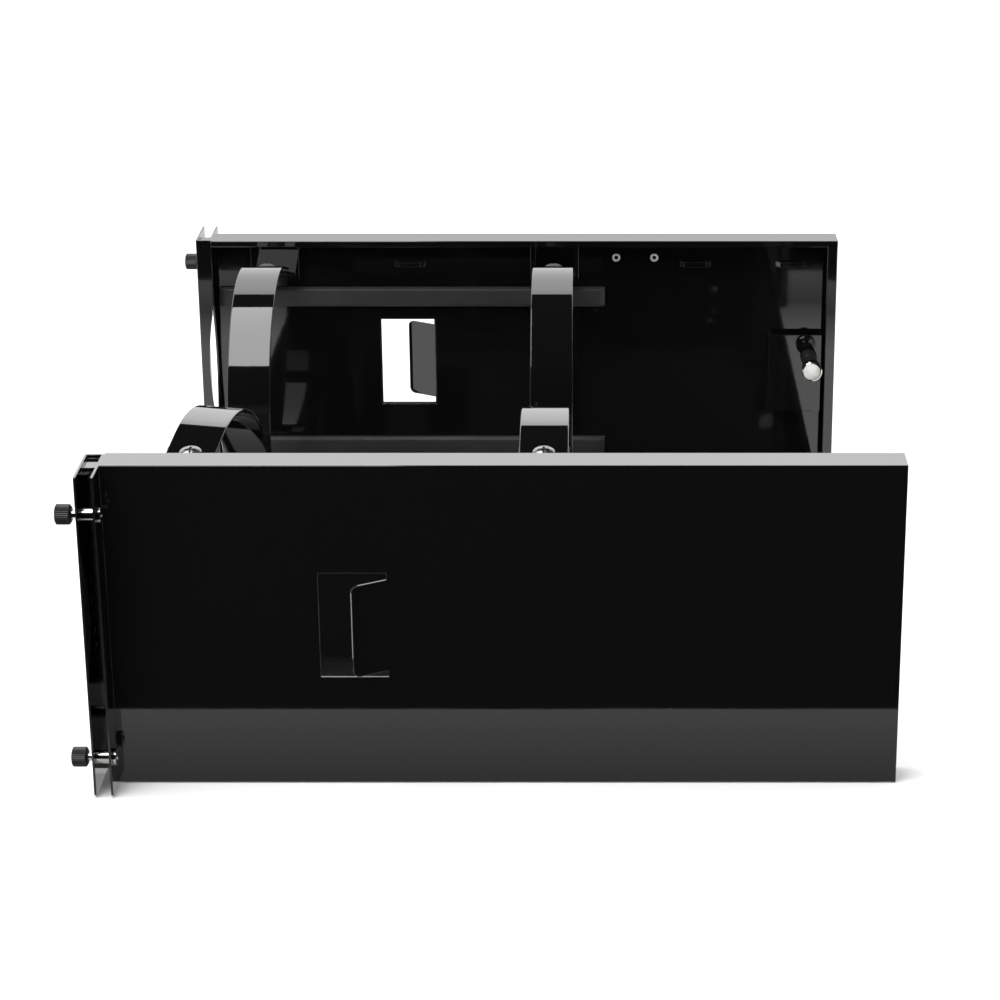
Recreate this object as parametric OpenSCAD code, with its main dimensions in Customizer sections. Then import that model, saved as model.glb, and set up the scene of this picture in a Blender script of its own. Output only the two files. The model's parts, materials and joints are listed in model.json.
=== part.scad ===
// Twin-sided organiser frame: two sheet-metal side panels on a base pan, each with an end channel,
// captive thumbscrews, swivelling hoops, a tabbed window and a pull plunger.
// Local side frame: X from the panel's left end, Y inward from its outer face, Z up from its foot.

/* [Side panels] */
// Length of each side panel
panel_l = 490; // [480:1:560]
// Height of the panels and end channels
panel_h = 212; // [206:1:230]
// Distance between the panels' outer faces
frame_w = 546; // [500:1:640]
// Thickness of the outer skins, channels and pan
sheet = 1.5; // [1.2:0.1:1.8]
// Thickness of the inner liners
liner_t = 1.2; // [1:0.1:1.5]
// Depth of the top and end flanges
flange_d = 24; // [20:1:26]
// Height of the lip under the top flange
top_lip = 5; // [4:0.5:6]
// Width of the return lip on the end flange
end_lip = 8; // [5:0.5:9]

/* [Window] */
// Width of the window
window_w = 42; // [36:1:46]
// Height of the window
window_h = 69.5; // [66:0.5:74]
// Middle of the window along the panel
window_x = 151; // [145:1:160]
// Middle of the window above the foot
window_z = 107.2; // [104:0.2:110]
// Length of the bent tab
tab_l = 24.5; // [20:0.5:28]
// Height of the bent tab
tab_h = 60.5; // [50:0.5:62]
// Outward bend of the tab in degrees
tab_bend = 30; // [20:1:45]

/* [End channels] */
// Clear gap between the two plates of a channel
channel_gap = 9; // [8.6:0.1:10]
// How far the channel stands outside its panel
channel_out = 22; // [20:0.5:24]
// How far the channel reaches inside its panel
channel_in = 21.6; // [21:0.2:24]
// Radius of the perforated arc
perf_r = 136; // [130:1:150]
// Pitch of the perforations along the arc
perf_pitch = 11.2; // [10:0.2:14]
// Diameter of one perforation
perf_d = 2; // [1.6:0.1:2.6]
// Depth of the lens cut into the web
lens_web = 5.5; // [4:0.5:6]

/* [Thumbscrews] */
// Height of the upper screws above the foot
screw_top_z = 185.5; // [180:0.5:188]
// Height of the lower screws above the foot
screw_low_z = 24; // [20:0.5:30]
// Distance of the screw axis outside the panel
screw_out = 13; // [12:0.5:14]
// Diameter of the knob
knob_d = 12.7; // [11:0.1:14]
// Length of the knob
knob_l = 10.3; // [8:0.1:12]
// Bare neck between the knob and the channel
neck_l = 3.5; // [3.4:0.1:5]
// Diameter of the screw's shank
shank_d = 4; // [3.8:0.1:4.2]

/* [Hoops] */
// Width of the strap
strap_w = 31; // [26:1:34]
// Thickness of the strap
strap_t = 2; // [1.6:0.1:2.2]
// Outer radius of the hoop
hoop_r = 102; // [98:0.5:103]
// Distance of the hoop's centre from the panel's outer face
hoop_y = 103.5; // [102:0.5:108]
// Height of the hoop's centre above the foot
hoop_z = 108; // [106:0.5:109]
// Middle of the left hoops along the panel
hoop_left_x = 47.3; // [44:0.1:60]
// Middle of the right hoops along the panel
hoop_right_x = 268.3; // [255:0.1:280]
// Swivel of the front left hoop at rest in degrees
hoop_yaw = 8; // [0:1:12]

/* [Pads and plunger] */
// Height of a pad strip
pad_h = 15; // [12:0.5:17]
// Thickness of a pad strip
pad_t = 5; // [3:0.5:6]
// Length of a pad strip
pad_l = 305; // [280:1:310]
// Diameter of the plunger's pull head
pull_d = 15.6; // [13:0.1:17]
// Plunger axis along the panel
plunger_x = 470.5; // [466:0.5:472]
// Plunger axis above the foot
plunger_z = 113.5; // [110:0.5:116]

/* [Hidden] */
$fn = 48;
front = 1;
back = -1;
eps = 0.01;

// Sheet build-up at a side, and the channel's plates along X
liner_y = sheet + liner_t;
web_y = channel_in - sheet;
plate2_x = -sheet;
plate1_x = plate2_x - channel_gap - sheet;
knob_x = plate1_x - neck_l;
knob_end_x = knob_x - knob_l;
centre_x = (panel_l + knob_end_x) / 2;

// Arc of the channel's perforations and lens cut, seen along X
mid_z = panel_h / 2;
perf_row_y = 2.2;
lens_y = 10;
perf_count = 10;
lens_r = perf_r - (lens_y - perf_row_y);
lens_half = sqrt(pow(lens_r, 2) - pow(lens_r - (channel_in - lens_y), 2));
lens_web_r = (pow(lens_half, 2) + pow(lens_web, 2)) / (2 * lens_web);
tab_drop = 2.4;
tab_y = 3;

// Clearances: running fits, faces that pass each other, and pieces that seat on each other
run_gap = 0.075;
face_gap = 0.3;
seat_gap = 0.05;

// Thumbscrew stations along X
sleeve_d = 8.3;
sleeve_neck_d = 6.4;
sleeve_ring_d = 10.5;
sleeve_ring_l = 2.2;
neck_d = 5.2;
pocket_d = 6.9;
pocket_x = plate1_x + 2.5;
pocket_end_x = plate2_x - 0.8;
shoulder_x = pocket_x + 0.1;
ring_t = 0.8;
shank_end_x = 3;
shank_tip = 0.6;
knob_chamfer = 0.9;
knob_slot_w = 1.4;
knob_socket = 6;
ring_seat = 0.02;
screw_coil_r = 2.7;
screw_wire_r = 0.25;
screw_coil_turns = 4;

// Hoop's strap: its tab rises from the swivel screw to the ring, which ends at the gap
swivel_y = 57;
tab_rise = 17;
tab_back = 15;
gap_end = 225;
lap_l = 1;
lap_step = 0.02;
strap_mid_r = hoop_r - strap_t / 2;
tangent_l = (hoop_y - strap_mid_r * sin(tab_rise) - swivel_y) / cos(tab_rise);
swivel_z = hoop_z + strap_mid_r * cos(tab_rise) - tangent_l * sin(tab_rise);

// Swivel screw, washer and nut, with heights along the screw from the middle of the tab
swivel_d = 6;
swivel_hole_d = swivel_d + 2 * run_gap;
head_d = 14;
head_t = 2.5;
head_dome_r = 12;
cross_l = 7;
cross_w = 1.4;
head_z = strap_t / 2 + face_gap;
washer_d = 13;
washer_t = 1;
shelf_z = -head_z - washer_t;
hoop_nut_d = 11.5;
hoop_nut_t = 5;
screw_tail = 7;

// Hoop's foot: a plate on the liner and a sloping shelf
foot_t = 2;
foot_w = 38;
foot_bottom_z = 176;
foot_top_z = 203;
shelf_w = 32;
shelf_front = 11;
shelf_back = (swivel_y - (shelf_z - foot_t / 2) * sin(tab_rise) - liner_y - foot_t / 2) / cos(tab_rise);

// Liner's margins at its left and lower edges, pad strips, clinch nuts and tie bridges
liner_margin_x = 2;
liner_margin_z = 3;
pad_x = 3;
pad_low_z = 29;
pad_top_z = 154;
nut_x = [317, 347];
nut_z = 193.2;
nut_hole_d = 5;
nut_shank_d = 4.9;
nut_rim_d = 6.4;
nut_rim_t = 1.5;
nut_bore_d = 3.3;
bridge_x = [154, 379.5, 455];
bridge_z = 188;
bridge_l = 25;
bridge_w = 4;
bridge_rise = 3.5;
bridge_slope = 4;
bridge_foot = 1.6;

// Pan and its rivets
pan_x = 2;
pan_end_x = panel_l - end_lip - 2;
pan_wall = 20;
pan_end_wall = 10;
pan_corner = 26;
rivet_x = [60, 180, 300, 420];
rivet_z = 12;
rivet_d = 3.2;
rivet_head_d = 6.4;
rivet_head_h = 1.6;
rivet_dome_r = 4;
pan_hole_d = 7;
pan_hole_dx = 360;
pan_hole_dy = 400;

// Plunger stations inward from the panel's outer face
bracket_x = 435;
bracket_end_x = 481;
bracket_z = 68;
bracket_h = 64;
bracket_face_y = 11.45;
bracket_foot = 5;
thread_d = 8;
thread_l = 5.4;
plunger_nut_d = 13;
plunger_nut_t = 3.4;
barrel_collar_d = 13;
barrel_collar_t = 4.5;
barrel_ring_y = 21;
barrel_ring_t = 2;
barrel_ring_d = 12;
barrel_d = 10.4;
barrel_end_y = 36;
barrel_floor_y = 14;
barrel_roof_y = 33;
barrel_bore_d = 7.6;
pin_d = 4.5;
pin_tip_y = 4.2;
collar_d = 7.2;
collar_y = 14.5;
collar_t = 2;
pull_y = 38;
pull_end_y = 51;
pull_neck_r = 4.6;
pull_neck_l = 4;
pull_chamfer = 0.6;
pull_edge = 0.8;
pin_coil_r = 3.1;
pin_wire_r = 0.35;
pin_coil_turns = 6;

gloss_black = [0.05, 0.05, 0.055];
satin_black = [0.12, 0.12, 0.12];
chrome = [0.8, 0.8, 0.82];
zinc = [0.7, 0.7, 0.68];

// Moves a part from a side's own frame to the object's frame
module on_side(side) {
    mirror([0, side == front ? 0 : 1, 0])
        translate([-centre_x, -frame_w / 2, 0])
            children();
}

// Bent sheet seen on edge, along the middle line of the sheet, with rounded bends and free edges
module sheet_line(points, t) {
    for (i = [0 : len(points) - 2]) {
        a = points[i];
        b = points[i + 1];
        translate(a)
            rotate(atan2(b[1] - a[1], b[0] - a[0]))
                translate([0, -t / 2])
                    square([norm(b - a), t]);
    }
    for (p = points)
        translate(p)
            circle(d = t, $fn = 24);
}

// Extrudes a profile drawn in Y and Z along X
module along_x(x0, length) {
    translate([x0, 0, 0])
        rotate([90, 0, 90])
            linear_extrude(length)
                children();
}

// Cylinders and revolved shapes along X and Y
module rod_x(x0, x1, d) {
    translate([x0, 0, 0])
        rotate([0, 90, 0])
            cylinder(d = d, h = x1 - x0);
}

module rod_y(y0, y1, d) {
    translate([0, y0, 0])
        rotate([-90, 0, 0])
            cylinder(d = d, h = y1 - y0);
}

// Compression spring along Z, swept as one closed tube
module coil(mean_r, wire_r, turns, length) {
    steps = 14;
    sides = 6;
    n = turns * steps;
    points = [
        for (i = [0 : n], j = [0 : sides - 1])
            let (a = 360 * i / steps, b = 360 * j / sides, r = mean_r + wire_r * cos(b))
            [r * cos(a), r * sin(a), wire_r + (length - 2 * wire_r) * i / n + wire_r * sin(b)]
    ];
    walls = [
        for (i = [0 : n - 1], j = [0 : sides - 1])
            let (k = (j + 1) % sides)
            [i * sides + j, (i + 1) * sides + j, (i + 1) * sides + k, i * sides + k]
    ];
    first_cap = [[for (j = [0 : sides - 1]) j]];
    last_cap = [[for (j = [sides - 1 : -1 : 0]) n * sides + j]];
    polyhedron(points, concat(walls, first_cap, last_cap));
}

module window_cut(grow) {
    translate([window_x - window_w / 2 - grow, -sheet, window_z - window_h / 2 - grow])
        cube([window_w + 2 * grow, liner_y + 3 * sheet, window_h + 2 * grow]);
}

// Outer skin: face, top flange with its lip, end flange with its return lip, and the bent tab
module side_skin(side) {
    h = sheet / 2;
    color(gloss_black)
        on_side(side) {
            difference() {
                union() {
                    along_x(0, panel_l)
                        sheet_line([
                            [h, h], [h, panel_h - h],
                            [flange_d - h, panel_h - h], [flange_d - h, panel_h - top_lip + h]
                        ], sheet);
                    linear_extrude(panel_h - h)
                        sheet_line([
                            [panel_l - h, h], [panel_l - h, flange_d - h],
                            [panel_l - end_lip + h, flange_d - h]
                        ], sheet);
                }
                window_cut(0);
            }
            window_tab();
        }
}

module window_tab() {
    corner = 4.5;
    translate([window_x + window_w / 2, sheet, window_z - tab_h / 2])
        rotate([0, 0, tab_bend])
            rotate([90, 0, 0])
                linear_extrude(sheet) {
                    translate([-tab_l + corner, 0])
                        square([tab_l - corner + sheet / 2, tab_h]);
                    translate([-tab_l, corner])
                        square([corner + eps, tab_h - 2 * corner]);
                    for (z = [corner, tab_h - corner])
                        translate([-tab_l + corner, z])
                            circle(r = corner);
                }
}

// Inner liner with its window, rivet and nut holes, and raised tie bridges
module side_liner(side) {
    color(gloss_black)
        on_side(side) {
            difference() {
                translate([liner_margin_x, sheet, liner_margin_z])
                    cube([
                        panel_l - liner_margin_x - 2 * sheet, liner_t,
                        panel_h - liner_margin_z - 2 * sheet
                    ]);
                window_cut(1);
                for (x = rivet_x)
                    translate([x, 0, rivet_z])
                        rod_y(0, 2 * liner_y, rivet_d + 2 * run_gap);
                for (x = nut_x)
                    translate([x, 0, nut_z])
                        rod_y(0, 2 * liner_y, nut_hole_d);
                for (x = bridge_x)
                    bridge_slot(x);
            }
            for (x = bridge_x)
                tie_bridge(x);
        }
}

module bridge_slot(x) {
    l = bridge_l - bridge_foot;
    w = bridge_w + 2 * face_gap;
    translate([x - l / 2, 0, bridge_z - w / 2])
        cube([l, 2 * liner_y, w]);
}

module tie_bridge(x) {
    half = bridge_l / 2;
    foot_y = liner_y - liner_t / 2;
    top_y = liner_y + bridge_rise;
    inner = half - bridge_slope - bridge_foot / 2;
    translate([x, 0, bridge_z - bridge_w / 2])
        linear_extrude(bridge_w)
            polygon([
                [-half, foot_y], [-half + bridge_slope, top_y],
                [half - bridge_slope, top_y], [half, foot_y],
                [half - bridge_foot, foot_y], [inner, top_y - liner_t],
                [-inner, top_y - liner_t], [-half + bridge_foot, foot_y]
            ]);
}

module clinch_nuts(side) {
    color(zinc)
        on_side(side)
            for (x = nut_x)
                translate([x, 0, nut_z])
                    difference() {
                        union() {
                            rod_y(sheet + seat_gap, liner_y + eps, nut_shank_d);
                            rod_y(liner_y, liner_y + nut_rim_t, nut_rim_d);
                        }
                        rod_y(0, 3 * liner_y, nut_bore_d);
                    }
}

// End channel: two plates and a web, open outward, with perforated arcs and a lens-shaped cut-out
module end_channel(side) {
    h = sheet / 2;
    color(gloss_black)
        on_side(side)
            difference() {
                union() {
                    linear_extrude(panel_h)
                        sheet_line([
                            [plate1_x + h, -channel_out + h], [plate1_x + h, channel_in - h],
                            [plate2_x + h, channel_in - h], [plate2_x + h, -channel_out + h]
                        ], sheet);
                    translate([plate1_x + h, tab_y, panel_h - tab_drop - sheet])
                        cube([channel_gap + sheet, web_y - tab_y + h, sheet]);
                }
                for (z = [screw_low_z, screw_top_z])
                    translate([0, -screw_out, z])
                        rod_x(plate1_x - 1, 1, sleeve_neck_d + 2 * run_gap);
                perforations();
                lens_cut();
                foot_round();
            }
}

module perforations() {
    for (i = [0 : perf_count - 1])
        let (a = (i - (perf_count - 1) / 2) * perf_pitch / perf_r * 180 / PI) {
            for (r = [perf_r, lens_r])
                perforation(a, r, plate1_x - 1, plate1_x + sheet + 1);
            perforation(a, perf_r, plate2_x - 1, 1);
        }
}

module perforation(a, r, x0, x1) {
    translate([0, perf_row_y + perf_r - r * cos(a), mid_z + r * sin(a)])
        rod_x(x0, x1, perf_d);
}

module lens_cut() {
    translate([0, perf_row_y + perf_r, mid_z])
        rod_x(plate2_x - eps, 1, 2 * lens_r);
    translate([lens_web_r - lens_web, 0, mid_z])
        rod_y(web_y - eps, channel_in + 1, 2 * lens_web_r);
}

// Rounds the lower outer corners of both plates
module foot_round() {
    r = 4;
    translate([plate1_x - 1, -channel_out, 0])
        difference() {
            translate([0, -1, -1])
                cube([channel_gap + 2 * sheet + 2, r + 1, r + 1]);
            translate([0, r, r])
                rod_x(-1, channel_gap + 2 * sheet + 4, 2 * r);
        }
}

module pad(side, z) {
    color(satin_black)
        on_side(side)
            translate([pad_x, liner_y, z])
                cube([pad_l, pad_t, pad_h]);
}

// Base pan: floor, a wall against each liner, end walls and the mounting holes
module base_pan() {
    h = sheet / 2;
    y = frame_w / 2 - liner_y;
    color(gloss_black)
        translate([-centre_x, 0, 0])
            difference() {
                union() {
                    along_x(pan_x, pan_end_x - pan_x)
                        sheet_line([
                            [-y + h, pan_wall - h], [-y + h, h],
                            [y - h, h], [y - h, pan_wall - h]
                        ], sheet);
                    for (x = [pan_x, pan_end_x - sheet])
                        translate([x, -y + pan_corner, 0])
                            cube([sheet, 2 * (y - pan_corner), pan_end_wall]);
                }
                for (side = [front, back], x = rivet_x)
                    translate([x, side == front ? -y - 1 : y - 2 * sheet - 1, rivet_z])
                        rod_y(0, 2 * sheet + 2, rivet_d + 2 * run_gap);
                for (x = [-1, 1], y = [-1, 1])
                    translate([centre_x + x * pan_hole_dx / 2, y * pan_hole_dy / 2, -1])
                        cylinder(d = pan_hole_d, h = sheet + 2);
            }
}

module pan_rivets() {
    y = liner_y + sheet;
    color(zinc)
        for (side = [front, back])
            on_side(side)
                for (x = rivet_x)
                    translate([x, 0, rivet_z]) {
                        rod_y(sheet + seat_gap, y + eps, rivet_d);
                        translate([0, y, 0])
                            intersection() {
                                rod_y(0, 2, rivet_head_d);
                                translate([0, rivet_head_h - rivet_dome_r, 0])
                                    sphere(r = rivet_dome_r);
                            }
                    }
}

// Puts a piece on a hoop's swivel, with Z along the screw and Y along the strap's tab
module at_swivel(side, x) {
    on_side(side)
        translate([x, swivel_y, swivel_z])
            rotate([tab_rise, 0, 0])
                children();
}

// Repeats a fastener at the swivel of every hoop of these sides
module at_swivels(sides = [front, back]) {
    for (side = sides, x = [hoop_left_x, hoop_right_x])
        at_swivel(side, x)
            children();
}

// Foot that carries a hoop
module hoop_foot(side, x) {
    color(gloss_black) {
        on_side(side)
            translate([x - foot_w / 2, liner_y, foot_bottom_z])
                cube([foot_w, foot_t, foot_top_z - foot_bottom_z]);
        at_swivel(side, x)
            difference() {
                translate([-shelf_w / 2, -shelf_back, shelf_z - foot_t])
                    cube([shelf_w, shelf_back + shelf_front, foot_t]);
                translate([0, 0, shelf_z - 2 * foot_t])
                    cylinder(d = swivel_hole_d, h = 3 * foot_t);
            }
    }
}

// Outline of a hoop seen along X from its swivel: a ring open towards the panel and a straight tab.
// The tab is a little thinner than the ring and laps into its end.
module hoop_outline() {
    reach = 2 * hoop_r;
    free_end = gap_end - tab_rise;
    tab_t = strap_t - 2 * lap_step;
    translate([tangent_l, -strap_mid_r])
        difference() {
            circle(r = hoop_r, $fn = 120);
            circle(r = hoop_r - strap_t, $fn = 120);
            polygon([
                [0, 0], [0, reach], [-reach, reach], [-reach, 0],
                [reach * cos(free_end), reach * sin(free_end)]
            ]);
        }
    translate([-tab_back, -tab_t / 2])
        square([tab_back + tangent_l + lap_l, tab_t]);
    translate([-tab_back, 0])
        circle(d = tab_t, $fn = 24);
}

module hoop(side, x, yaw) {
    color(gloss_black)
        at_swivel(side, x)
            rotate([0, 0, -yaw])
                difference() {
                    along_x(-strap_w / 2, strap_w)
                        hoop_outline();
                    translate([0, 0, -strap_t])
                        cylinder(d = swivel_hole_d, h = 2 * strap_t);
                }
}

module hoop_screws(side) {
    tail_z = shelf_z - foot_t - screw_tail;
    color(side == front ? zinc : satin_black)
        at_swivels([side]) {
            difference() {
                translate([0, 0, head_z])
                    intersection() {
                        cylinder(d = head_d, h = head_t);
                        translate([0, 0, head_t - head_dome_r])
                            sphere(r = head_dome_r);
                    }
                for (a = [0, 90])
                    rotate(a)
                        translate([-cross_l / 2, -cross_w / 2, head_z + 1])
                            cube([cross_l, cross_w, head_t]);
            }
            translate([0, 0, tail_z])
                cylinder(d = swivel_d, h = head_z + eps - tail_z);
        }
}

module hoop_washers() {
    color([0.9, 0.9, 0.88])
        at_swivels()
            translate([0, 0, shelf_z])
                difference() {
                    cylinder(d = washer_d, h = washer_t);
                    translate([0, 0, -1])
                        cylinder(d = swivel_hole_d, h = washer_t + 2);
                }
}

module hoop_nuts() {
    color(zinc)
        at_swivels()
            translate([0, 0, shelf_z - foot_t - hoop_nut_t])
                difference() {
                    cylinder(d = hoop_nut_d, h = hoop_nut_t, $fn = 6);
                    translate([0, 0, -1])
                        cylinder(d = swivel_hole_d, h = hoop_nut_t + 2);
                }
}

// Puts a thumbscrew piece on its axis
module at_thumbscrew(side, z) {
    on_side(side)
        translate([0, -screw_out, z])
            children();
}

module thumbscrew_sleeves() {
    color(chrome)
        for (side = [front, back], z = [screw_top_z, screw_low_z])
            at_thumbscrew(side, z)
                difference() {
                    union() {
                        rod_x(plate1_x, sleeve_ring_l, sleeve_neck_d);
                        rod_x(plate1_x + sheet + seat_gap, plate2_x - seat_gap, sleeve_d);
                        rod_x(seat_gap, sleeve_ring_l, sleeve_ring_d);
                    }
                    rod_x(plate1_x - 1, pocket_x + eps, neck_d + 2 * run_gap);
                    rod_x(pocket_x, pocket_end_x, pocket_d);
                    rod_x(pocket_end_x - eps, sleeve_ring_l + 1, shank_d + 2 * run_gap);
                }
}

module thumbscrew_knob(side, z) {
    c = knob_chamfer;
    r = knob_d / 2;
    color(satin_black)
        at_thumbscrew(side, z)
            difference() {
                translate([knob_end_x, 0, 0])
                    rotate([0, 90, 0])
                        rotate_extrude()
                            polygon([
                                [0, 0], [r - c, 0], [r, c], [r, knob_l - c],
                                [r - c, knob_l], [0, knob_l]
                            ]);
                rod_x(knob_x - knob_socket, knob_x + 1, neck_d + 2 * seat_gap);
                translate([knob_end_x - 1, -knob_slot_w / 2, -r])
                    cube([3, knob_slot_w, knob_d]);
            }
}

module thumbscrew_screw(side, z) {
    color(chrome)
        at_thumbscrew(side, z) {
            rod_x(knob_x - knob_socket + 2 * seat_gap, shoulder_x, neck_d);
            rod_x(shoulder_x - eps, shank_end_x - shank_tip, shank_d);
            translate([shank_end_x - shank_tip - eps, 0, 0])
                rotate([0, 90, 0])
                    cylinder(d1 = shank_d, d2 = shank_d - 2 * shank_tip, h = shank_tip);
        }
}

module thrust_ring(side, z) {
    color(zinc)
        at_thumbscrew(side, z)
            difference() {
                rod_x(shoulder_x + ring_seat, shoulder_x + ring_seat + ring_t, pocket_d - face_gap);
                rod_x(shoulder_x - 1, shoulder_x + 2, shank_d + 2 * run_gap);
            }
}

module thumbscrew_spring(side, z) {
    x0 = shoulder_x + ring_t + seat_gap;
    color(zinc)
        at_thumbscrew(side, z)
            translate([x0, 0, 0])
                rotate([0, 90, 0])
                    coil(screw_coil_r, screw_wire_r, screw_coil_turns, pocket_end_x - x0 - seat_gap);
}

module at_plunger(side) {
    on_side(side)
        translate([plunger_x, 0, plunger_z])
            children();
}

// Hat-shaped bracket that stands the plunger off the liner
module plunger_bracket(side) {
    h = sheet / 2;
    color(gloss_black)
        difference() {
            on_side(side)
                translate([0, 0, bracket_z])
                    linear_extrude(bracket_h)
                        sheet_line([
                            [bracket_x + h, liner_y + h], [bracket_x + bracket_foot, liner_y + h],
                            [bracket_x + bracket_foot, bracket_face_y - h],
                            [bracket_end_x - h, bracket_face_y - h], [bracket_end_x - h, liner_y + h]
                        ], sheet);
            at_plunger(side)
                rod_y(bracket_face_y - 2 * sheet, bracket_face_y + 1, thread_d + 2 * run_gap);
        }
}

module plunger_barrel(side) {
    collar_end_y = bracket_face_y + barrel_collar_t;
    color(satin_black)
        at_plunger(side)
            difference() {
                union() {
                    rod_y(bracket_face_y - thread_l, bracket_face_y + eps, thread_d);
                    rod_y(bracket_face_y, collar_end_y, barrel_collar_d);
                    rod_y(collar_end_y - 2 * seat_gap, barrel_end_y, barrel_d);
                    rod_y(barrel_ring_y, barrel_ring_y + barrel_ring_t, barrel_ring_d);
                }
                rod_y(0, barrel_floor_y + eps, pin_d + 2 * run_gap);
                rod_y(barrel_floor_y, barrel_roof_y, barrel_bore_d);
                rod_y(barrel_roof_y - eps, barrel_end_y + 1, pin_d + 2 * run_gap);
            }
}

module plunger_nut(side) {
    color(zinc)
        at_plunger(side)
            difference() {
                translate([0, bracket_face_y - sheet - plunger_nut_t - 2 * seat_gap, 0])
                    rotate([-90, 0, 0])
                        cylinder(d = plunger_nut_d, h = plunger_nut_t, $fn = 6);
                rod_y(0, bracket_face_y, thread_d + 2 * run_gap);
            }
}

module pull_pin(side) {
    l = pull_end_y - pull_y;
    r = pull_d / 2;
    shoulder = pull_neck_l + 1;
    color(chrome)
        at_plunger(side) {
            rod_y(pin_tip_y, pull_y + eps, pin_d);
            rod_y(collar_y, collar_y + collar_t, collar_d);
            translate([0, pull_y, 0])
                rotate([-90, 0, 0])
                    rotate_extrude()
                        polygon([
                            [0, 0], [pull_neck_r, 0], [pull_neck_r, pull_neck_l],
                            [r - pull_chamfer, shoulder], [r, shoulder + pull_chamfer],
                            [r, l - pull_edge], [r - pull_edge, l], [0, l]
                        ]);
        }
}

module plunger_spring(side) {
    y0 = collar_y + collar_t + seat_gap;
    color(zinc)
        at_plunger(side)
            translate([0, y0, 0])
                rotate([-90, 0, 0])
                    coil(pin_coil_r, pin_wire_r, pin_coil_turns, barrel_roof_y - y0 - seat_gap);
}

base_pan();
pan_rivets();
side_skin(front);  // front_skin
side_liner(front);  // front_liner
clinch_nuts(front);  // front_clinch_nuts
end_channel(front);  // front_end_channel
side_skin(back);  // back_skin
side_liner(back);  // back_liner
clinch_nuts(back);  // back_clinch_nuts
end_channel(back);  // back_end_channel
pad(front, pad_top_z);  // front_upper_pad
pad(front, pad_low_z);  // front_lower_pad
pad(back, pad_top_z);  // back_upper_pad
pad(back, pad_low_z);  // back_lower_pad
hoop_foot(front, hoop_left_x);  // front_left_foot
hoop_foot(front, hoop_right_x);  // front_right_foot
hoop_foot(back, hoop_left_x);  // back_left_foot
hoop_foot(back, hoop_right_x);  // back_right_foot
hoop(front, hoop_left_x, hoop_yaw);  // front_left_hoop
hoop(front, hoop_right_x, 0);  // front_right_hoop
hoop(back, hoop_left_x, 0);  // back_left_hoop
hoop(back, hoop_right_x, 0);  // back_right_hoop
hoop_screws(front);  // front_hoop_screws
hoop_screws(back);  // back_hoop_screws
hoop_washers();
hoop_nuts();
thumbscrew_sleeves();
thumbscrew_knob(front, screw_top_z);  // front_upper_knob
thumbscrew_screw(front, screw_top_z);  // front_upper_screw
thrust_ring(front, screw_top_z);  // front_upper_thrust_ring
thumbscrew_spring(front, screw_top_z);  // front_upper_spring
thumbscrew_knob(front, screw_low_z);  // front_lower_knob
thumbscrew_screw(front, screw_low_z);  // front_lower_screw
thrust_ring(front, screw_low_z);  // front_lower_thrust_ring
thumbscrew_spring(front, screw_low_z);  // front_lower_spring
thumbscrew_knob(back, screw_top_z);  // back_upper_knob
thumbscrew_screw(back, screw_top_z);  // back_upper_screw
thrust_ring(back, screw_top_z);  // back_upper_thrust_ring
thumbscrew_spring(back, screw_top_z);  // back_upper_spring
thumbscrew_knob(back, screw_low_z);  // back_lower_knob
thumbscrew_screw(back, screw_low_z);  // back_lower_screw
thrust_ring(back, screw_low_z);  // back_lower_thrust_ring
thumbscrew_spring(back, screw_low_z);  // back_lower_spring
plunger_bracket(front);  // front_plunger_bracket
plunger_barrel(front);  // front_plunger_barrel
plunger_nut(front);  // front_plunger_nut
pull_pin(front);  // front_pull_pin
plunger_spring(front);  // front_plunger_spring
plunger_bracket(back);  // back_plunger_bracket
plunger_barrel(back);  // back_plunger_barrel
plunger_nut(back);  // back_plunger_nut
pull_pin(back);  // back_pull_pin
plunger_spring(back);  // back_plunger_spring
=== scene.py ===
# Looks for the twin-sided organiser frame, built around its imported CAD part. Lengths are in metres.
import json
import math

import bmesh
import bpy
from mathutils import Matrix, Vector

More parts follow.
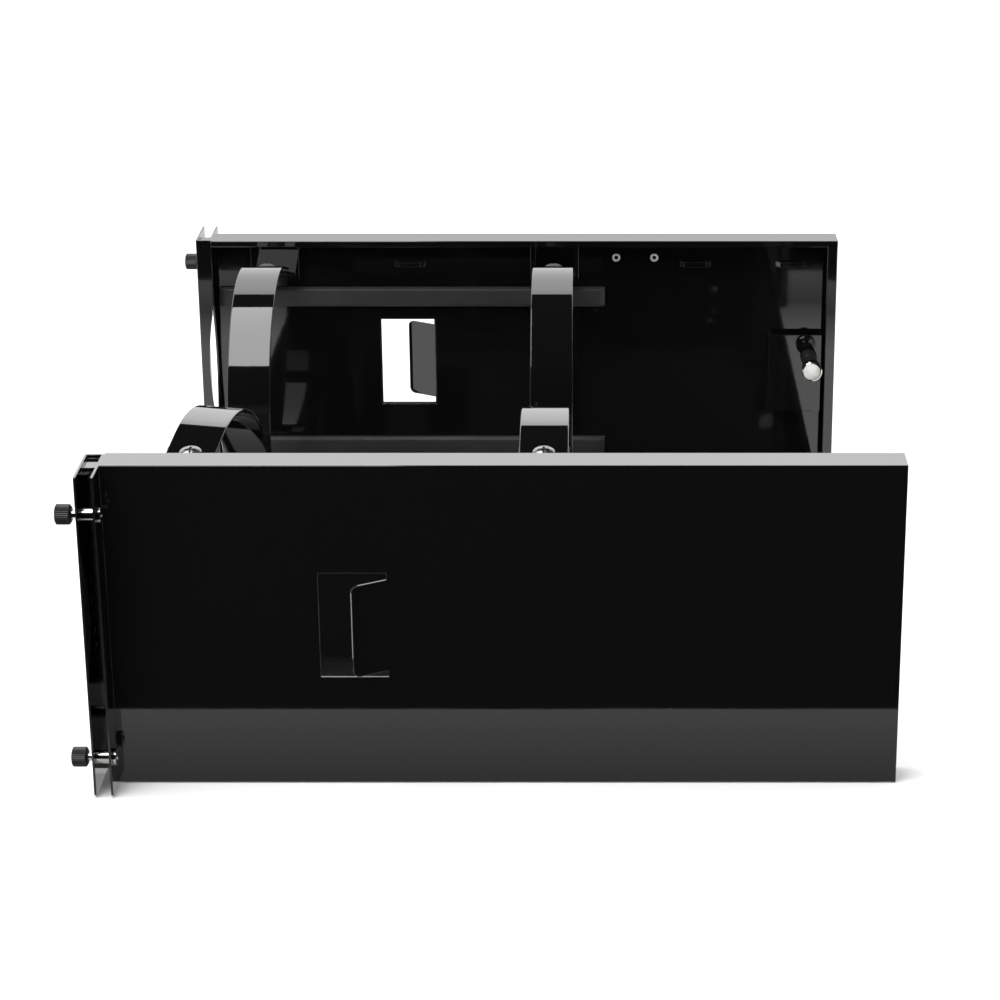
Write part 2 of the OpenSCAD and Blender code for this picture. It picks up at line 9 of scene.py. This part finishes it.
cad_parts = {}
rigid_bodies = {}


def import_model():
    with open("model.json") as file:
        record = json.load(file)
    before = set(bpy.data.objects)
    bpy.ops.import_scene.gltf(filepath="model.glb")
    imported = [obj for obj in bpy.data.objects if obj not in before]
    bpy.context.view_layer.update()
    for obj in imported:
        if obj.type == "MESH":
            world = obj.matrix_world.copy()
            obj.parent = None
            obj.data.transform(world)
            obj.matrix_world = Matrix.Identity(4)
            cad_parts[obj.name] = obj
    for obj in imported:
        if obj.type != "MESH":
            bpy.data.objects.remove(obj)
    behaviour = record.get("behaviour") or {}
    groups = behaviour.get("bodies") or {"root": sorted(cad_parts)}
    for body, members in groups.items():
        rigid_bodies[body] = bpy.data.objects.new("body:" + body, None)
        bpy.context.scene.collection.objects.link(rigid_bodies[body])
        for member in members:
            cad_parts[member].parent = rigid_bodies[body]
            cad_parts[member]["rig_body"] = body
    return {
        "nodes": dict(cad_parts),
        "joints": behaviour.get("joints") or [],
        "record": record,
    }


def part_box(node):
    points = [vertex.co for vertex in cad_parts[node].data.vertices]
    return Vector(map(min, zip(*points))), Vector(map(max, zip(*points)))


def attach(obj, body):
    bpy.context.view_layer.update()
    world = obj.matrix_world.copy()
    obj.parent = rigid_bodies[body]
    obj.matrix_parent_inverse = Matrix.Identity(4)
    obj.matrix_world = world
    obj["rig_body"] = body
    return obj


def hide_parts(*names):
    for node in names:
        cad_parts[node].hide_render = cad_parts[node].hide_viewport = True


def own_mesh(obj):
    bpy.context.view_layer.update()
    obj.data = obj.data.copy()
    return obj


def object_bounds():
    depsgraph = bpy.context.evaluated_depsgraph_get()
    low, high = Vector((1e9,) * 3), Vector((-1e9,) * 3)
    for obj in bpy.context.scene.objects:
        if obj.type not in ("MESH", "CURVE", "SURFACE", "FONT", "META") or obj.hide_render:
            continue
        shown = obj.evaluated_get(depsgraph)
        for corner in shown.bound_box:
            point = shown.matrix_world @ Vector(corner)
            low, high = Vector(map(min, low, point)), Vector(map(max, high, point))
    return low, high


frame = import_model()
cad_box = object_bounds()

MM = 0.001
SLOT_OF = {row["node"]: row["material_slot"] for row in frame["record"]["subparts"]}


# ---------------------------------------------------------------- materials

def new_material(name, **constants):
    """A Principled material with constant sockets, and its node tree."""
    mat = bpy.data.materials.new(name)
    mat.use_nodes = True
    shader = mat.node_tree.nodes["Principled BSDF"]
    for socket, value in constants.items():
        shader.inputs[socket.replace("_", " ")].default_value = value
    return mat


def add(mat, kind, links=None, **settings):
    """One node. A setting is a property, or a socket's value where the node has no such property."""
    made = mat.node_tree.nodes.new(kind)
    for key, value in settings.items():
        if hasattr(made, key):
            setattr(made, key, value)
        else:
            made.inputs[key.replace("_", " ")].default_value = value
    for socket, source in (links or {}).items():
        mat.node_tree.links.new(source, made.inputs[socket])
    return made


def drive(mat, socket, source):
    """Feeds one socket of the material's shader."""
    mat.node_tree.links.new(source, mat.node_tree.nodes["Principled BSDF"].inputs[socket])


def noise(mat, scale, detail=2.0, stretch=(1, 1, 1)):
    """Noise in the object's own space, scale in cells a metre."""
    place = add(mat, "ShaderNodeTexCoord").outputs["Object"]
    mapped = add(mat, "ShaderNodeMapping", {"Vector": place}, Scale=stretch)
    made = add(mat, "ShaderNodeTexNoise", {"Vector": mapped.outputs["Vector"]}, Scale=scale, Detail=detail)
    return made.outputs["Fac"]


def cells(mat, scale):
    """Distance to the nearest of scattered points, scale in points a metre."""
    place = add(mat, "ShaderNodeTexCoord").outputs["Object"]
    return add(mat, "ShaderNodeTexVoronoi", {"Vector": place}, Scale=scale).outputs["Distance"]


def spread(mat, source, low, high, start=0.3, end=0.7):
    """Maps the source's range from start to end onto low to high, and holds it beyond both ends."""
    made = add(mat, "ShaderNodeMapRange", {"Value": source})
    for socket, value in (("From Min", start), ("From Max", end), ("To Min", low), ("To Max", high)):
        made.inputs[socket].default_value = value
    return made.outputs["Result"]


def blend_colours(mat, factor, a, b):
    """Colour a where the factor is 0 and b where it is 1."""
    made = add(mat, "ShaderNodeMix", data_type="RGBA")
    # A Mix node's colours are its inputs 6 and 7 and its output 2.
    mat.node_tree.links.new(factor, made.inputs[0])
    made.inputs[6].default_value = (*a, 1)
    made.inputs[7].default_value = (*b, 1)
    return made.outputs[2]


def bumps(mat, *layers, normal=None):
    """Stacks bump layers, each (height, depth in metres, strength), on the given normal or the surface's."""
    for height, depth, strength in layers:
        links = {"Height": height}
        if normal is not None:
            links["Normal"] = normal
        normal = add(mat, "ShaderNodeBump", links, Distance=depth, Strength=strength).outputs["Normal"]
    drive(mat, "Normal", normal)


# The coat rounds each edge over COAT_ROUND. The edge colour is lighter than the face: partly thin coat at the
# edge, partly a painted highlight along it.
COAT_ROUND = 0.6 * MM
COAT_BLACK, COAT_EDGE_WEAR_AND_HIGHLIGHT = (0.0032, 0.0032, 0.0034), (0.17, 0.167, 0.162)


def gloss_coat():
    """High-gloss black powder coat: orange peel, slow waves of the sheet, and lighter edges, partly thin
    paint and partly a painted highlight.
    """
    mat = new_material("gloss_black_coat", IOR=1.52, Coat_Weight=0.35, Coat_Roughness=0.02)
    rounded = add(mat, "ShaderNodeBevel", samples=4, Radius=COAT_ROUND).outputs["Normal"]
    face = add(mat, "ShaderNodeNewGeometry").outputs["Normal"]
    turned = add(mat, "ShaderNodeVectorMath", {0: rounded, 1: face}, operation="DOT_PRODUCT").outputs["Value"]
    near_edge = spread(mat, turned, 1, 0, start=0.75, end=0.98)
    patchy = spread(mat, noise(mat, 90), 0.2, 1)
    # Painted highlight along the edges, in noisy patches, partly thin-coat wear: the edge colour is lighter
    # than the face.
    edge_wear_and_highlight = add(mat, "ShaderNodeMath", {0: near_edge, 1: patchy}, operation="MULTIPLY").outputs["Value"]
    drive(mat, "Base Color", blend_colours(mat, edge_wear_and_highlight, COAT_BLACK, COAT_EDGE_WEAR_AND_HIGHLIGHT))
    drive(mat, "Roughness", spread(mat, noise(mat, 40, detail=4), 0.03, 0.06))
    waves = (noise(mat, 7, detail=1), 9e-4, 0.25)
    orange_peel = (noise(mat, 330), 2.2e-5, 0.22)
    bumps(mat, waves, orange_peel, normal=rounded)
    return mat


def foam_pad():
    """Satin closed-cell strip: fine pores and a soft uneven sheen."""
    mat = new_material("satin_pad", Sheen_Weight=0.12, Sheen_Roughness=0.5, IOR=1.45)
    cloudy = noise(mat, 60, detail=5)
    drive(mat, "Base Color", blend_colours(mat, cloudy, (0.017, 0.017, 0.018), (0.03, 0.0295, 0.029)))
    drive(mat, "Roughness", spread(mat, noise(mat, 260, detail=3), 0.42, 0.6))
    pores = (cells(mat, 1500), 6e-5, 0.35)
    dents = (noise(mat, 160, detail=3), 1.2e-4, 0.2)
    bumps(mat, pores, dents)
    return mat


def black_oxide():
    """Satin black anodised or blackened metal with faint lathe marks."""
    mat = new_material("satin_black_knob", IOR=1.45)
    mottled = noise(mat, 400, detail=4)
    drive(mat, "Base Color", blend_colours(mat, mottled, (0.008, 0.008, 0.009), (0.016, 0.016, 0.017)))
    drive(mat, "Roughness", spread(mat, noise(mat, 900, detail=3), 0.36, 0.5))
    bumps(mat, (noise(mat, 1400), 2e-5, 0.3))
    return mat


def turned_chrome(name, stretch):
    """Bright plate over a turned surface. stretch packs the marks along the turning axis."""
    mat = new_material(name, Metallic=1.0, IOR=2.4)
    marks = noise(mat, 260, detail=3, stretch=stretch)
    tint = noise(mat, 120, detail=3)
    drive(mat, "Base Color", blend_colours(mat, tint, (0.60, 0.59, 0.56), (0.68, 0.67, 0.64)))
    drive(mat, "Roughness", spread(mat, marks, 0.1, 0.26))
    bumps(mat, (marks, 3e-5, 0.25))
    return mat


def zinc_plate(name, bluish, yellowish, metallic=1.0):
    """Zinc plated steel: a faint bloom between two tints, and a fine grain. Less metallic looks more matt."""
    mat = new_material(name, Metallic=metallic, IOR=2.2)
    drive(mat, "Base Color", blend_colours(mat, noise(mat, 140, detail=4), bluish, yellowish))
    drive(mat, "Roughness", spread(mat, noise(mat, 700, detail=4), 0.2, 0.4))
    bumps(mat, (noise(mat, 1100, detail=3), 2e-5, 0.3))
    return mat


def nylon():
    """Natural nylon: slightly translucent and unevenly pale."""
    mat = new_material("white_nylon", Subsurface_Weight=0.1, Subsurface_Scale=0.001, IOR=1.53)
    tint = noise(mat, 200, detail=3)
    drive(mat, "Base Color", blend_colours(mat, tint, (0.74, 0.72, 0.66), (0.82, 0.81, 0.77)))
    drive(mat, "Roughness", spread(mat, noise(mat, 600), 0.38, 0.52))
    bumps(mat, (noise(mat, 800), 2e-5, 0.2))
    return mat


CHROME_X = turned_chrome("bright_chrome_x", (9, 0.3, 0.3))
CHROME_Y = turned_chrome("bright_chrome_y", (0.3, 9, 0.3))
BRIGHT_ZINC = zinc_plate("zinc_steel", (0.56, 0.58, 0.61), (0.68, 0.65, 0.58))
# Painted light: a paler, less metallic copy of the zinc, used on the clinch nuts so that they read brighter.
MATT_LIT_ZINC = zinc_plate("matt_lit_zinc_steel", (0.74, 0.75, 0.77), (0.82, 0.80, 0.75), metallic=0.25)
# Painted shade: a darker copy of the zinc, used on the front hoop screws so that they read less bright.
SHADED_ZINC = zinc_plate("shaded_zinc_steel", (0.20, 0.205, 0.215), (0.27, 0.26, 0.245))
MATERIALS = {
    "gloss_black_coat": gloss_coat(), "satin_pad": foam_pad(), "satin_black_knob": black_oxide(),
    "bright_chrome": CHROME_X, "zinc_steel": BRIGHT_ZINC, "white_nylon": nylon(),
}
OWN_FINISH = {
    "front_hoop_screws": SHADED_ZINC, "front_clinch_nuts": MATT_LIT_ZINC, "back_clinch_nuts": MATT_LIT_ZINC,
    "front_pull_pin": CHROME_Y, "back_pull_pin": CHROME_Y,
}


# ---------------------------------------------------------------- meshes

def put_in_scene(name, bm, material=None):
    """Turns a bmesh into an object."""
    mesh = bpy.data.meshes.new(name)
    bm.to_mesh(mesh)
    bm.free()
    if material:
        mesh.materials.append(material)
    made = bpy.data.objects.new(name, mesh)
    bpy.context.scene.collection.objects.link(made)
    return made


def skin_rings(bm, rings):
    """Joins rings of points in a row into one tube, closed at both ends."""
    for ring, following in zip(rings, rings[1:]):
        for k in range(len(ring)):
            n = (k + 1) % len(ring)
            bm.faces.new((ring[k], ring[n], following[n], following[k]))
    bm.faces.new(rings[0])
    bm.faces.new(rings[-1])


def revolved(profile, steps, radius_at=None):
    """Turned solid about +X from (station, radius) pairs. radius_at(row, step, radius) changes a radius."""
    bm = bmesh.new()
    rings = []
    for i, (station, radius) in enumerate(profile):
        ring = []
        for k in range(steps):
            r = radius if radius_at is None else radius_at(i, k, radius)
            a = 2 * math.pi * k / steps
            ring.append(bm.verts.new((station, r * math.cos(a), r * math.sin(a))))
        rings.append(ring)
    skin_rings(bm, rings)
    return bm


def finish_piece(name, bm, node, smooth_over=35.0):
    """Makes the bmesh the piece that stands for a CAD node, on its body and in its slot."""
    bmesh.ops.recalc_face_normals(bm, faces=bm.faces)
    for face in bm.faces:
        face.smooth = True
    for edge in bm.edges:
        if len(edge.link_faces) == 2 and edge.calc_face_angle() > math.radians(smooth_over):
            edge.smooth = False
    piece = put_in_scene(name, bm, OWN_FINISH.get(node, MATERIALS[SLOT_OF[node]]))
    weights = piece.modifiers.new("weighted", "WEIGHTED_NORMAL")
    weights.keep_sharp = True
    weights.weight = 100
    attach(piece, frame["nodes"][node]["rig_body"])
    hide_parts(node)
    return piece


def inward_of(node):
    """The Y direction from a node's side panel towards the middle of the frame."""
    return 1 if node.startswith("front") else -1


def centre_of(node):
    """Middle of a CAD node's box."""
    low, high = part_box(node)
    return (low + high) / 2


# ---------------------------------------------------------------- pieces

WELD_WITHIN, FLAT_BELOW_DEG, HARD_OVER_DEG = 0.002 * MM, 0.6, 40
EASE = {"gloss_black_coat": 0.5 * MM, "zinc_steel": 0.4 * MM, "bright_chrome": 0.2 * MM,
        "satin_black_knob": 0.2 * MM, "white_nylon": 0.2 * MM}


def eased(node):
    """The CAD node's own shape with its flat faces joined and its hard edges rounded."""
    bm = bmesh.new()
    bm.from_mesh(frame["nodes"][node].data)
    bmesh.ops.remove_doubles(bm, verts=bm.verts, dist=WELD_WITHIN)
    bmesh.ops.dissolve_limit(bm, angle_limit=math.radians(FLAT_BELOW_DEG), verts=bm.verts, edges=bm.edges)
    limit = math.radians(HARD_OVER_DEG)
    hard = [e for e in bm.edges if len(e.link_faces) == 2 and e.calc_face_angle() > limit]
    bmesh.ops.bevel(bm, geom=hard, offset=EASE[SLOT_OF[node]], offset_type="OFFSET", segments=3, profile=0.5,
                    affect="EDGES", clamp_overlap=True)
    return finish_piece(node + "_eased", bm, node)


KNURL_TEETH, KNURL_DEPTH = 32, 0.38 * MM
TOOTH_FORM = (0.0, 0.6, 1.0, 0.6)
KNOB_SLOT_WIDTH, KNOB_SLOT_DEPTH = 1.4 * MM, 1.8 * MM


def knob(node):
    """Knurled knob with a domed, slotted outer end and a chamfer towards the plate."""
    low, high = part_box(node)
    middle = centre_of(node)
    length, radius = (high.x - low.x) / MM, (high.z - low.z) / 2
    dome = [(0.0, 0.35), (0.0, 0.62), (0.25, 0.80), (0.8, 0.93)]
    grip = [(1.1, 1.0), (1.5, 1.0), (length - 1.8, 1.0), (length - 1.4, 1.0)]
    chamfer = [(length - 1.1, 0.97), (length - 0.3, 0.80), (length, 0.72)]
    grip_rows = range(len(dome), len(dome) + len(grip))

    def tooth(row, step, r):
        if row not in grip_rows:
            return r
        share = 0.4 if row in (grip_rows[0], grip_rows[-1]) else 1.0
        return r - KNURL_DEPTH * TOOTH_FORM[step % len(TOOTH_FORM)] * share

    profile = [(station * MM, share * radius) for station, share in dome + grip + chamfer]
    bm = revolved(profile, KNURL_TEETH * len(TOOTH_FORM), tooth)
    bmesh.ops.translate(bm, verts=bm.verts, vec=(low.x, middle.y, middle.z))
    piece = finish_piece(node + "_knurled", bm, node, smooth_over=28.0)
    cut_slot(piece, Vector((low.x, middle.y, middle.z)), radius)
    return piece


def cut_slot(piece, end, radius):
    """Cuts the screwdriver slot across the knob's end, with the weighted normals off until it is done."""
    bm = bmesh.new()
    bmesh.ops.create_cube(bm, size=1.0)
    bmesh.ops.scale(bm, verts=bm.verts, vec=(2 * KNOB_SLOT_DEPTH, KNOB_SLOT_WIDTH, 2.4 * radius))
    bmesh.ops.translate(bm, verts=bm.verts, vec=end)
    cutter = put_in_scene("slot_cutter", bm)
    cut = piece.modifiers.new("slot", "BOOLEAN")
    cut.operation = "DIFFERENCE"
    cut.object = cutter
    weights = piece.modifiers["weighted"]
    weights.show_viewport = False
    deps = bpy.context.evaluated_depsgraph_get()
    piece.data = bpy.data.meshes.new_from_object(piece.evaluated_get(deps))
    piece.modifiers.remove(cut)
    weights.show_viewport = True
    bpy.data.objects.remove(cutter)


PULL_STEPS = 72


def pull_head(node):
    """Pull pin along Y, turned from one bar: rod, collar, neck ring, flared head and grooved rim."""
    low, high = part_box(node)
    middle = centre_of(node)
    # The profile is in millimetres, as (distance from the pin's tip, radius).
    length, radius = (high.y - low.y) / MM, (high.z - low.z) / 2 / MM
    pin, collar, ring = 2.25, 3.6, 4.9
    at, head = 10.3, length - 13
    rod = [(0, pin - 0.7), (0.7, pin), (at, pin)]
    step = [(at, collar - 0.2), (at + 0.2, collar), (at + 1.8, collar), (at + 2, collar - 0.2), (at + 2, pin)]
    neck = [(head - 1.6, pin), (head - 1.6, ring - 0.3), (head - 1.3, ring), (head - 0.5, ring),
            (head - 0.3, ring - 0.3)]
    flare = [(head - 0.3, 0.55 * radius), (head + 2.2, 0.55 * radius), (head + 3.2, 0.72 * radius),
             (head + 4.2, 0.94 * radius), (head + 4.9, radius)]
    groove = [(length - 3.2, radius), (length - 2.9, radius - 0.5), (length - 2.3, radius - 0.5),
              (length - 2.0, radius)]
    crown = [(length - 0.7, radius), (length - 0.2, radius - 0.45), (length, radius - 0.9),
             (length - 0.12, radius - 1.6), (length - 0.12, 0.3)]
    profile = [(station * MM, r * MM) for station, r in rod + step + neck + flare + groove + crown]
    bm = revolved(profile, PULL_STEPS)
    turn = Matrix.Rotation(math.radians(90 * inward_of(node)), 4, "Z")
    bmesh.ops.transform(bm, matrix=turn, verts=bm.verts)
    start = low.y if inward_of(node) > 0 else high.y
    bmesh.ops.translate(bm, verts=bm.verts, vec=(middle.x, start, middle.z))
    return finish_piece(node + "_turned", bm, node, smooth_over=25.0)


COIL_STEPS, WIRE_STEPS = 28, 10


def spring(node, axis, turns, wire):
    """Round-wire compression spring along the given axis, as long as the CAD node's box."""
    low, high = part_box(node)
    middle = centre_of(node)
    along = 0 if axis[0] else 1
    length = high[along] - low[along]
    mean = (high.z - low.z) / 2 - wire
    total = turns * COIL_STEPS
    bm = bmesh.new()
    rings = []
    for i in range(total + 1):
        a = 2 * math.pi * i / COIL_STEPS
        station = wire + (length - 2 * wire) * i / total
        ring = []
        for k in range(WIRE_STEPS):
            b = 2 * math.pi * k / WIRE_STEPS
            r = mean + wire * math.cos(b)
            point = middle.copy()
            point[along] = low[along] + station + wire * math.sin(b)
            point[1 - along] += r * math.cos(a)
            point.z += r * math.sin(a)
            ring.append(bm.verts.new(point))
        rings.append(ring)
    skin_rings(bm, rings)
    piece = finish_piece(node + "_wire", bm, node, smooth_over=60.0)
    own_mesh(piece)
    return piece


def screw_spring(node):
    """Spring of a thumbscrew, held at its high X end."""
    return spring(node, (1, 0, 0), turns=4, wire=0.25 * MM)


def plunger_spring(node):
    """Spring of a pull plunger, held at the end away from its panel."""
    return spring(node, (0, 1, 0), turns=6, wire=0.35 * MM)


HOOP_RADIUS, HOOP_CENTRE_IN, HOOP_CENTRE_Z = 102 * MM, 103.5 * MM, 108 * MM
STRAP_WIDTH, STRAP_THICK, STRAP_EDGE = 31 * MM, 2 * MM, 0.75 * MM
SWIVEL_IN, TAB_BACK = 57 * MM, 16 * MM
RISE_DEG, FREE_END_DEG = 17, -135
YAW_DEG = {"front_left_hoop": 8}
TAB_STEPS, RING_STEPS, CORNER_STEPS = 12, 120, 5
STRAP_END, END_THIN, END_FULL = 0.25 * MM, 0.72, 0.93


def strap_path():
    """Middle line of a strap from its tab to its free end, as (distance in from the panel's face, height)."""
    r = HOOP_RADIUS - STRAP_THICK / 2
    rise = math.radians(RISE_DEG)
    join = (HOOP_CENTRE_IN - r * math.sin(rise), HOOP_CENTRE_Z + r * math.cos(rise))
    tab = (join[0] - SWIVEL_IN) / math.cos(rise) + TAB_BACK
    points = []
    for i in range(TAB_STEPS):
        back = tab * (1 - i / TAB_STEPS)
        points.append((join[0] - back * math.cos(rise), join[1] - back * math.sin(rise)))
    for i in range(RING_STEPS + 1):
        a = math.radians(90 + RISE_DEG + (FREE_END_DEG - 90 - RISE_DEG) * i / RING_STEPS)
        points.append((HOOP_CENTRE_IN + r * math.cos(a), HOOP_CENTRE_Z + r * math.sin(a)))
    return points


def strap_section():
    """Outline across a strap as (along X, out of the strap), a rectangle with rolled edges."""
    section = []
    for sx, st, start in ((1, 1, 0), (-1, 1, 90), (-1, -1, 180), (1, -1, 270)):
        for i in range(CORNER_STEPS + 1):
            a = math.radians(start + 90 * i / CORNER_STEPS)
            section.append((sx * (STRAP_WIDTH / 2 - STRAP_EDGE) + STRAP_EDGE * math.cos(a),
                            st * (STRAP_THICK / 2 - STRAP_EDGE) + STRAP_EDGE * math.sin(a)))
    return section


def strap(node):
    """Swept strap with rolled edges and eased ends, turned on its swivel to its rest angle."""
    inward = inward_of(node)
    joint = next(j for j in frame["joints"] if j["name"] == node + "_swivel")
    swivel = joint["pos_m"]
    face_y = swivel[1] - inward * SWIVEL_IN
    section, path = strap_section(), strap_path()
    last = len(path) - 1
    stations = [(0, 0.0, END_THIN), (0, STRAP_END, END_FULL)] + [(i, 0.0, 1.0) for i in range(1, last)]
    stations += [(last, -STRAP_END, END_FULL), (last, 0.0, END_THIN)]
    bm = bmesh.new()
    rings = []
    for i, along, fullness in stations:
        a, b = path[max(i - 1, 0)], path[min(i + 1, last)]
        d = Vector((b[0] - a[0], b[1] - a[1])).normalized()
        here = Vector(path[i]) + d * along
        ring = []
        for across, out in section:
            y, z = here.x - d.y * out * fullness, here.y + d.x * out * fullness
            ring.append(bm.verts.new((swivel[0] + across, face_y + inward * y, z)))
        rings.append(ring)
    skin_rings(bm, rings)
    pivot = Matrix.Translation(swivel)
    turn = Matrix.Rotation(math.radians(-YAW_DEG.get(node, 0) * inward), 4, Vector(joint["axis"]))
    bmesh.ops.transform(bm, matrix=pivot @ turn @ pivot.inverted(), verts=bm.verts)
    return finish_piece(node + "_strap", bm, node, smooth_over=50.0)


PAD_ROUND = 2.2 * MM
PAD_COLUMNS, PAD_ROWS = 120, 12


def pad_height(u, v, ease):
    """Share of a pad's thickness at (u, v) on its face. ease is 0 at the rim and 1 inside the rounding."""
    shoulder = math.sqrt(1 - (1 - ease) ** 2)
    crown = math.sin(math.pi * v)
    ripple = 0.012 * math.sin(41 * u + 5 * v) + 0.009 * math.sin(97 * u + 2.1)
    return min(1.0, 0.62 + 0.30 * shoulder + 0.06 * crown + ripple * ease)


def pad(node):
    """Foam strip with rounded, slightly uneven edges and a low crown, held flat on the liner."""
    low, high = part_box(node)
    inward = inward_of(node)
    glued = low.y if inward > 0 else high.y
    thick, tall, long = high.y - low.y, high.z - low.z, high.x - low.x
    bm = bmesh.new()
    grid = []
    for i in range(PAD_COLUMNS + 1):
        column = []
        u = i / PAD_COLUMNS
        for k in range(PAD_ROWS + 1):
            v = k / PAD_ROWS
            from_rim = min(min(u, 1 - u) * long, min(v, 1 - v) * tall)
            y = glued + inward * thick * pad_height(u, v, min(1.0, from_rim / PAD_ROUND))
            column.append(bm.verts.new((low.x + u * long, y, low.z + v * tall)))
        grid.append(column)
    for i in range(PAD_COLUMNS):
        for k in range(PAD_ROWS):
            bm.faces.new((grid[i][k], grid[i + 1][k], grid[i + 1][k + 1], grid[i][k + 1]))
    rim = ([column[0] for column in grid] + grid[-1][1:] + [column[-1] for column in reversed(grid[:-1])]
           + list(reversed(grid[0][1:-1])))
    base = [bm.verts.new((v.co.x, glued, v.co.z)) for v in rim]
    for i, top in enumerate(rim):
        n = (i + 1) % len(rim)
        bm.faces.new((top, rim[n], base[n], base[i]))
    bm.faces.new(base)
    piece = finish_piece(node + "_foam", bm, node, smooth_over=50.0)
    return piece


MAKERS = {"_pad": pad, "_hoop": strap, "_knob": knob, "_pull_pin": pull_head,
          "_plunger_spring": plunger_spring, "_spring": screw_spring}

for name in sorted(frame["nodes"]):
    maker = next((make for ending, make in MAKERS.items() if name.endswith(ending)), eased)
    maker(name)


# ---------------------------------------------------------------- studio

def plane(name, size_x, size_y, location, material):
    """Flat stage surface about its own middle."""
    bm = bmesh.new()
    bmesh.ops.create_grid(bm, x_segments=1, y_segments=1, size=0.5)
    bmesh.ops.scale(bm, verts=bm.verts, vec=(size_x, size_y, 1))
    made = put_in_scene(name, bm, material)
    made.location = location
    return made


def softbox(name, size_x, size_y, location, target, radiance):
    """Rectangular studio light. radiance is how bright it looks in a reflection, with white paper near 1."""
    light = bpy.data.lights.new(name, "AREA")
    light.shape = "RECTANGLE"
    light.size, light.size_y = size_x, size_y
    light.energy = radiance * math.pi * size_x * size_y
    made = bpy.data.objects.new(name, light)
    made.location = location
    made.rotation_euler = (Vector(target) - Vector(location)).to_track_quat("-Z", "Y").to_euler()
    bpy.context.scene.collection.objects.link(made)
    return made


def glow(name, low, high, start, end):
    """Light-giving surface whose brightness goes from low to high between two places on its own Y."""
    mat = bpy.data.materials.new(name)
    mat.use_nodes = True
    mat.node_tree.nodes.clear()
    place = add(mat, "ShaderNodeTexCoord").outputs["Object"]
    parts = add(mat, "ShaderNodeSeparateXYZ", {"Vector": place})
    level = spread(mat, parts.outputs["Y"], low, high, start, end)
    emission = add(mat, "ShaderNodeEmission", {"Strength": level})
    add(mat, "ShaderNodeOutputMaterial", {"Surface": emission.outputs["Emission"]})
    return mat


def reflected_only(obj):
    """Leaves a surface visible to glossy rays alone."""
    for ray in ("camera", "diffuse", "transmission", "volume_scatter", "shadow"):
        setattr(obj, "visible_" + ray, False)
    return obj


# The camera sees a paper floor. The gloss sees a white table top instead, which ends a little in front of the
# object in an apron strip of its own brightness, and a board that stands behind.
FLOOR_Z = cad_box[0].z
FLOOR_SIZE, FLOOR_DROP, TABLE_DROP = 30, 0.6 * MM, 0.2 * MM
APRON_FRONT, APRON_BACK, TABLE_BACK, TABLE_X = -0.384, -0.26, 3.0, 3.2
BOARD_Y, BOARD_TOP, BOARD_X = 0.42, 0.69, 2.4
OVERHEAD_AT, OVERHEAD_BELOW, OVERHEAD_SIZE = (-1.0, -0.6, 2.2), (-1.0, -0.6, 0), (1.6, 2.45)
CAMERA_AT, CAMERA_TILT_DEG = (0.0686, -1.8605, 0.7777), 69.76
LENS_MM, SENSOR_MM, SHIFT_X, SHIFT_Y = 100.3, 36, -0.0956, -0.0038


def table_strip(name, front, back, material):
    """Part of the table top between two places along Y, seen in reflections only."""
    middle = (0, (front + back) / 2, FLOOR_Z - TABLE_DROP)
    return reflected_only(plane(name, TABLE_X, back - front, middle, material))


paper = new_material("studio_paper", Roughness=0.9)
drive(paper, "Base Color", blend_colours(paper, noise(paper, 3), (0.86, 0.86, 0.86), (0.9, 0.9, 0.9)))
floor = plane("studio_floor", FLOOR_SIZE, FLOOR_SIZE, (0, 0, FLOOR_Z - FLOOR_DROP), paper)
floor.visible_glossy = False

table_strip("studio_apron", APRON_FRONT, APRON_BACK,
            glow("apron_glow", low=0.85, high=0.45, start=-0.062, end=0.045))
table_strip("studio_table", APRON_BACK, TABLE_BACK,
            glow("table_glow", low=0.63, high=1.4, start=-1.63, end=-1.52))
board = reflected_only(plane("studio_board", BOARD_X, BOARD_TOP, (0, BOARD_Y, BOARD_TOP / 2),
                             glow("board_glow", low=0.9, high=2.7, start=-0.195, end=0.205)))
board.rotation_euler = (math.radians(90), 0, 0)

world = bpy.data.worlds.new("studio")
world.use_nodes = True
world.node_tree.nodes["Background"].inputs["Color"].default_value = (1, 1, 1, 1)
world.node_tree.nodes["Background"].inputs["Strength"].default_value = 1.0
world.cycles_visibility.glossy = False
bpy.context.scene.world = world
bpy.context.scene.view_settings.view_transform = "Standard"

softbox("overhead", *OVERHEAD_SIZE, OVERHEAD_AT, OVERHEAD_BELOW, radiance=6.5)

lens = bpy.data.cameras.new("camera")
lens.lens, lens.sensor_width = LENS_MM, SENSOR_MM
lens.shift_x, lens.shift_y = SHIFT_X, SHIFT_Y
camera = bpy.data.objects.new("camera", lens)
camera.location = CAMERA_AT
camera.rotation_euler = (math.radians(CAMERA_TILT_DEG), 0, 0)
bpy.context.scene.collection.objects.link(camera)
bpy.context.scene.camera = camera
